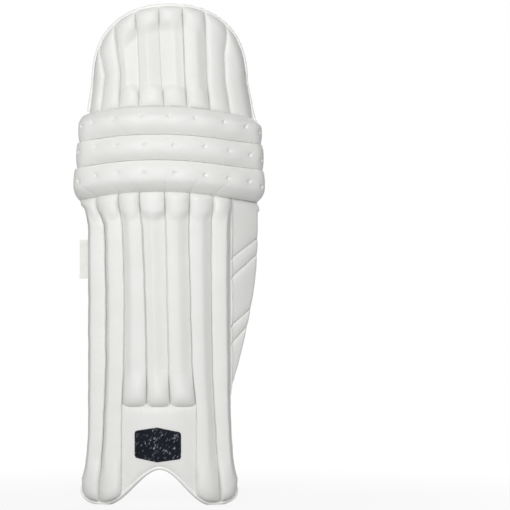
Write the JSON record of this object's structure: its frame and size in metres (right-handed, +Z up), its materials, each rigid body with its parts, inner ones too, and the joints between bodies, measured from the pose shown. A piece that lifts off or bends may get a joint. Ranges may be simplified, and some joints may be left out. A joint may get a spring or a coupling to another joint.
{
  "type": "cricket leg pad",
  "caption": "Batting leg pad for the left leg: channelled white shin and top hat, tufted knee rolls, calf wing, mesh bolsters and striped fastening straps.",
  "frame": {"origin": "On the wearer's shin line at the foot end: the middle of the board's leg side, level with the lobes.", "axes": "+Z up the leg, -Y out of the front of the pad, +Y towards the leg, +X towards the wing."},
  "size_m": [0.2626, 0.0979, 0.6966],
  "materials": {
    "white_leather": "grained synthetic leather",
    "white_binding": "smooth binding tape",
    "white_mesh": "knitted spacer mesh",
    "webbing": "woven webbing with dark stripes",
    "white_plastic": "moulded plastic",
    "navy_fabric": "flecked printed fabric",
    "black_rubber": "matt moulded rubber",
    "foam": "closed-cell foam",
    "hook_and_pile": "hook-and-pile tape"
  },
  "bodies": {
    "shin": {"shin_board": "foam", "shin_back_skin": "white_leather", "shin_cover": "white_leather", "shin_rod_1": "foam", "shin_rod_2": "foam", "shin_rod_3": "foam", "shin_rod_4": "foam", "shin_rod_5": "foam", "shin_rod_6": "foam", "shin_rod_7": "foam", "instep_panel": "white_leather", "instep_badge": "navy_fabric", "instep_binding": "white_binding", "outer_bolster_cover": "white_mesh", "outer_bolster_core": "foam", "inner_bolster_cover": "white_mesh", "inner_bolster_core": "foam", "centre_strip": "navy_fabric", "side_tag": "webbing", "ankle_anchor": "webbing", "ankle_pile_patch": "hook_and_pile", "calf_pile_patch": "hook_and_pile"},
    "wing": {"wing_panel": "white_leather", "wing_lining": "white_mesh", "calf_anchor": "webbing"},
    "knee": {"knee_roll_1": "white_leather", "knee_roll_2": "white_leather", "knee_roll_3": "white_leather", "knee_board": "foam", "outer_knee_pad_cover": "white_mesh", "outer_knee_pad_core": "foam", "inner_knee_pad_cover": "white_mesh", "inner_knee_pad_core": "foam", "knee_centre_panel": "white_leather", "knee_anchor": "webbing", "knee_pile_patch": "hook_and_pile"},
    "top": {"top_cover": "white_leather", "top_board": "foam", "top_lining": "navy_fabric", "top_binding": "white_binding", "top_rod_1": "foam", "top_rod_2": "foam", "top_rod_3": "foam", "top_rod_4": "foam", "top_rod_5": "foam", "top_rod_6": "foam"},
    "ankle_ring": {"ankle_ring": "white_plastic"},
    "ankle_strap": {"ankle_strap": "webbing"},
    "ankle_tip": {"ankle_tip": "white_plastic", "ankle_hook_patch": "hook_and_pile"},
    "calf_ring": {"calf_ring": "white_plastic"},
    "calf_strap": {"calf_strap": "webbing", "calf_strap_badge": "navy_fabric"},
    "calf_tip": {"calf_tip": "black_rubber", "calf_hook_patch": "hook_and_pile"},
    "knee_ring": {"knee_ring": "white_plastic"},
    "knee_strap": {"knee_strap": "webbing"},
    "knee_tip": {"knee_tip": "black_rubber", "knee_hook_patch": "hook_and_pile"}
  },
  "joints": [
    {"name": "knee_flex", "type": "hinge", "parent": "shin", "child": "knee", "pos_m": [0, 0.025, 0.432], "axis": [1, 0, 0], "range_deg": [-6, 6], "stiffness_Nm_per_rad": 6},
    {"name": "top_flex", "type": "hinge", "parent": "knee", "child": "top", "pos_m": [0, 0.025, 0.549], "axis": [1, 0, 0], "range_deg": [-6, 6], "stiffness_Nm_per_rad": 4},
    {"name": "wing_flex", "type": "hinge", "parent": "shin", "child": "wing", "pos_m": [0.09209, 0.02002, 0.154], "axis": [0, 0, -1], "range_deg": [0, 20], "stiffness_Nm_per_rad": 1},
    {"name": "ankle_ring_swivel", "type": "hinge", "parent": "shin", "child": "ankle_ring", "pos_m": [0.0757, 0.02791, 0.137], "axis": [0, 0, -1], "range_deg": [0, 20]},
    {"name": "ankle_strap_swing", "type": "hinge", "parent": "ankle_ring", "child": "ankle_strap", "pos_m": [0.05032, 0.04097, 0.137], "axis": [0, 0, -1], "range_deg": [0, 100]},
    {"name": "ankle_tip_peel", "type": "hinge", "parent": "ankle_strap", "child": "ankle_tip", "pos_m": [-0.08223, 0.03042, 0.137], "axis": [0, 0, -1], "range_deg": [0, 60], "stiffness_Nm_per_rad": 0.02},
    {"name": "calf_ring_swivel", "type": "hinge", "parent": "wing", "child": "calf_ring", "pos_m": [0.10931, 0.05439, 0.343], "axis": [0, 0, -1], "range_deg": [0, 20]},
    {"name": "calf_strap_swing", "type": "hinge", "parent": "calf_ring", "child": "calf_strap", "pos_m": [0.09498, 0.04236, 0.343], "axis": [0, 0, -1], "range_deg": [0, 100]},
    {"name": "calf_tip_peel", "type": "hinge", "parent": "calf_strap", "child": "calf_tip", "pos_m": [-0.08223, 0.03042, 0.343], "axis": [0, 0, -1], "range_deg": [0, 60], "stiffness_Nm_per_rad": 0.02},
    {"name": "knee_ring_swivel", "type": "hinge", "parent": "knee", "child": "knee_ring", "pos_m": [0.10888, 0.06308, 0.473], "axis": [0, 0, -1], "range_deg": [0, 20]},
    {"name": "knee_strap_swing", "type": "hinge", "parent": "knee_ring", "child": "knee_strap", "pos_m": [0.09433, 0.0526, 0.473], "axis": [0, 0, -1], "range_deg": [0, 100]},
    {"name": "knee_tip_peel", "type": "hinge", "parent": "knee_strap", "child": "knee_tip", "pos_m": [-0.10008, 0.03995, 0.473], "axis": [0, 0, -1], "range_deg": [0, 60], "stiffness_Nm_per_rad": 0.02}
  ]
}
